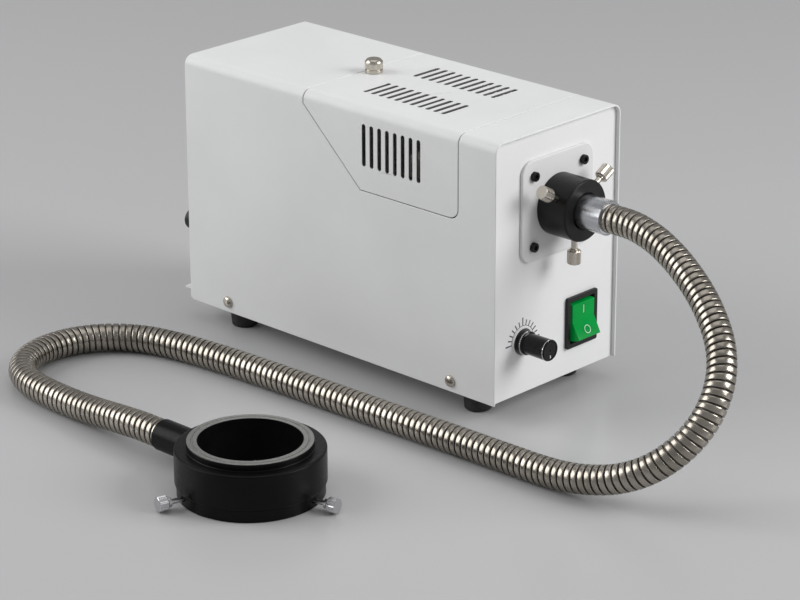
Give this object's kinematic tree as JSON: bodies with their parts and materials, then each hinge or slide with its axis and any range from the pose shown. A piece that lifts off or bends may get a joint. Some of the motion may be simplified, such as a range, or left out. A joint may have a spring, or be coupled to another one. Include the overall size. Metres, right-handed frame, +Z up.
{
  "type": "fibre optic illuminator",
  "caption": "Lamp house with dimmer, switch, fan and hinged lamp cover, feeding a flexible metal light guide that ends in a ring head with thumb screws.",
  "frame": {"origin": "on the bench, under the middle of the lamp house and ring head taken together", "axes": "+Z up, +Y from the front panel to the rear panel, +X from the ring head's side to the lamp house"},
  "size_m": [0.3176, 0.4293, 0.1764],
  "materials": {
    "shell_paint": "fine powder coat, warm light grey",
    "panel_paint": "smooth satin paint, near white",
    "plate_paint": "smooth satin paint, light grey",
    "black_rubber": "matt moulded rubber",
    "zinc_steel": "zinc plated",
    "nickel": "bright nickel plate",
    "black_steel": "black oxide",
    "black_anodised": "satin black anodised",
    "bare_aluminium": "as machined",
    "stainless": "bright drawn stainless steel",
    "filter_glass": "clear, faintly green heat glass",
    "reflector_glass": "faceted dichroic coat",
    "clear_glass": "clear",
    "lamp_ceramic": "unglazed ceramic",
    "core_steel": "varnished laminations",
    "coil_wrap": "yellow insulating tape",
    "circuit_board": "green solder resist",
    "brass": "turned",
    "black_plastic": "moulded, fine grain",
    "gloss_black": "polished moulding",
    "rocker_green": "translucent green",
    "fibre_glass": "bonded and lapped fibre ends"
  },
  "bodies": {
    "lamp_house": {"housing_shell": "shell_paint", "base_tray": "shell_paint", "front_panel": "panel_paint", "rear_panel": "shell_paint", "rubber_feet": "black_rubber", "foot_screws": "zinc_steel", "side_screws": "nickel", "cover_bracket": "zinc_steel", "hinge_lugs": "zinc_steel", "hinge_pins": "zinc_steel", "port_plate": "plate_paint", "port_screws": "black_steel", "port_collar": "black_anodised", "filter_spacers": "zinc_steel", "filter_holder": "bare_aluminium", "heat_filter": "filter_glass", "lamp_reflector": "reflector_glass", "lamp_bulb": "clear_glass", "lamp_socket": "lamp_ceramic", "lamp_bracket": "zinc_steel", "transformer_core": "core_steel", "transformer_coil": "coil_wrap", "transformer_bolts": "zinc_steel", "dimmer_board": "circuit_board", "board_spacers": "brass", "heat_sink": "bare_aluminium", "board_parts": "black_plastic", "dimmer_pot": "zinc_steel", "pot_nut": "nickel", "switch_body": "black_plastic", "fan_frame": "black_plastic", "fan_guard": "nickel", "fan_screws": "zinc_steel", "mains_inlet": "black_plastic", "inlet_pins": "nickel", "inlet_screws": "zinc_steel", "fuse_holder": "black_plastic", "fuse_link": "clear_glass"},
    "lid": {"lamp_cover": "shell_paint"},
    "cover_screw_body": {"cover_screw": "nickel"},
    "rocker": {"switch_rocker": "rocker_green"},
    "knob": {"dimmer_knob": "gloss_black", "pot_shaft": "brass"},
    "fan": {"fan_rotor": "black_plastic"},
    "fuse_cap_body": {"fuse_cap": "black_plastic"},
    "light_guide": {"guide_ferrule": "stainless", "fibre_input": "fibre_glass", "light_guide_conduit": "stainless", "fibre_bundle": "fibre_glass", "neck_tube": "black_anodised", "ring_housing": "black_anodised", "ring_base": "black_anodised", "ring_sleeve": "black_anodised", "fibre_ring": "fibre_glass"},
    "collar_clamp_left": {"collar_screw_left": "nickel"},
    "collar_clamp_right": {"collar_screw_right": "nickel"},
    "collar_clamp_lower": {"collar_screw_lower": "nickel"},
    "ring_clamp_left": {"ring_screw_left": "nickel"},
    "ring_clamp_front": {"ring_screw_front": "nickel"},
    "ring_clamp_right": {"ring_screw_right": "nickel"}
  },
  "joints": [
    {"name": "lid_hinge", "type": "hinge", "parent": "lamp_house", "child": "lid", "pos_m": [0.104, -0.0975, 0.1631], "axis": [1, 0, 0], "range_deg": [0, 90]},
    {"name": "cover_screw_lift", "type": "slide", "parent": "lid", "child": "cover_screw_body", "axis": [0, 0, 1], "range_m": [0, 0.008]},
    {"name": "rocker_tip", "type": "hinge", "parent": "lamp_house", "child": "rocker", "pos_m": [0.1272, -0.1115, 0.0444], "axis": [1, 0, 0], "range_deg": [0, 20]},
    {"name": "knob_turn", "type": "hinge", "parent": "lamp_house", "child": "knob", "pos_m": [0.0775, -0.1115, 0.0444], "axis": [0, 1, 0], "range_deg": [0, 300]},
    {"name": "fan_spin", "type": "hinge", "parent": "lamp_house", "child": "fan", "pos_m": [0.104, 0.12, 0.1188], "axis": [0, 1, 0], "continuous": true},
    {"name": "fuse_cap_turn", "type": "hinge", "parent": "lamp_house", "child": "fuse_cap_body", "pos_m": [0.064, 0.136, 0.0593], "axis": [0, 1, 0], "range_deg": [0, 90]},
    {"name": "guide_pull", "type": "slide", "parent": "lamp_house", "child": "light_guide", "axis": [0, -1, 0], "range_m": [0, 0.045]},
    {"name": "collar_left_unscrew", "type": "slide", "parent": "lamp_house", "child": "collar_clamp_left", "axis": [-0.866, 0, 0.5], "range_m": [0, 0.008]},
    {"name": "collar_right_unscrew", "type": "slide", "parent": "lamp_house", "child": "collar_clamp_right", "axis": [0.866, 0, 0.5], "range_m": [0, 0.008]},
    {"name": "collar_lower_unscrew", "type": "slide", "parent": "lamp_house", "child": "collar_clamp_lower", "axis": [0, 0, -1], "range_m": [0, 0.008]},
    {"name": "ring_left_screw_in", "type": "slide", "parent": "light_guide", "child": "ring_clamp_left", "axis": [0.9511, -0.309, 0], "range_m": [0, 0.006]},
    {"name": "ring_front_screw_in", "type": "slide", "parent": "light_guide", "child": "ring_clamp_front", "axis": [-0.2079, 0.9781, 0], "range_m": [0, 0.006]},
    {"name": "ring_right_screw_in", "type": "slide", "parent": "light_guide", "child": "ring_clamp_right", "axis": [-0.7431, -0.6691, 0], "range_m": [0, 0.006]}
  ]
}
